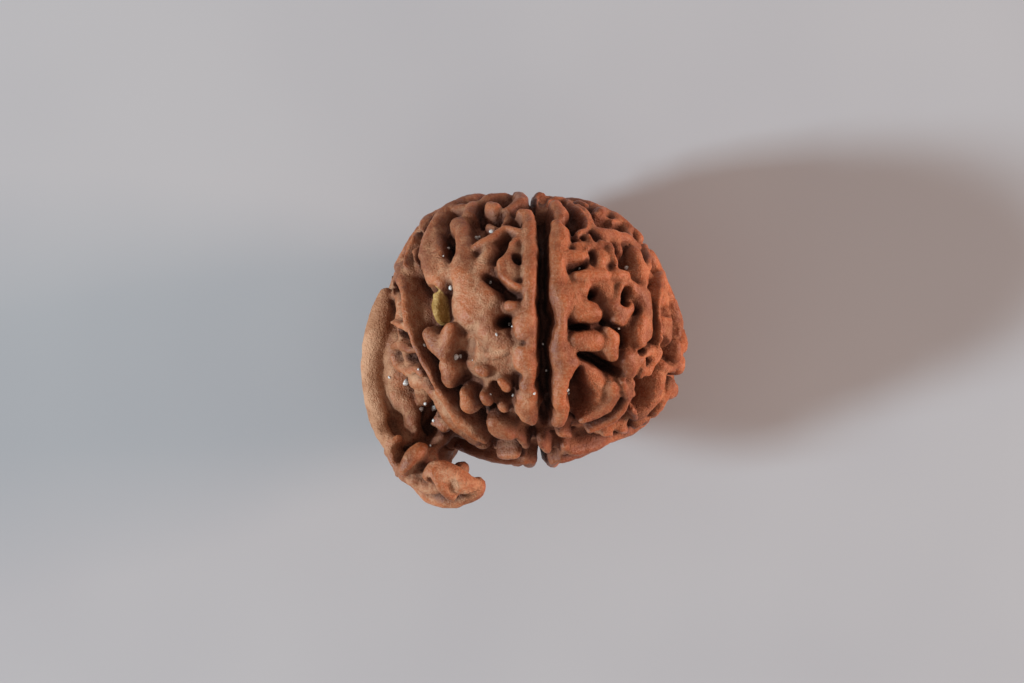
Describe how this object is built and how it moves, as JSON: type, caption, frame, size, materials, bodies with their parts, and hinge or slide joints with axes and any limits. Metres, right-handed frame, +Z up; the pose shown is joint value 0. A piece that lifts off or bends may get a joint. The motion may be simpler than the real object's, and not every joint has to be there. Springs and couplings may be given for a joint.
{
  "type": "rudraksha seed",
  "caption": "Round woody seed with a raised net of lobes and pits, faces parted by deep grooves from pole to pole, and a trunk-like outgrowth curled free at one side.",
  "frame": {"origin": "middle of the small flat spot that the seed rests on", "axes": "+Z up from the surface it lies on; +Y from the near pole to the far pole seen from above, along the middle groove; +X to the right, away from the trunk"},
  "size_m": [0.0261, 0.0252, 0.022],
  "materials": {
    "seed_shell": "dry woody shell, dusty in the pits, polished on the raised net"
  },
  "bodies": {
    "root": {"rudraksha_seed": "seed_shell"}
  },
  "joints": []
}
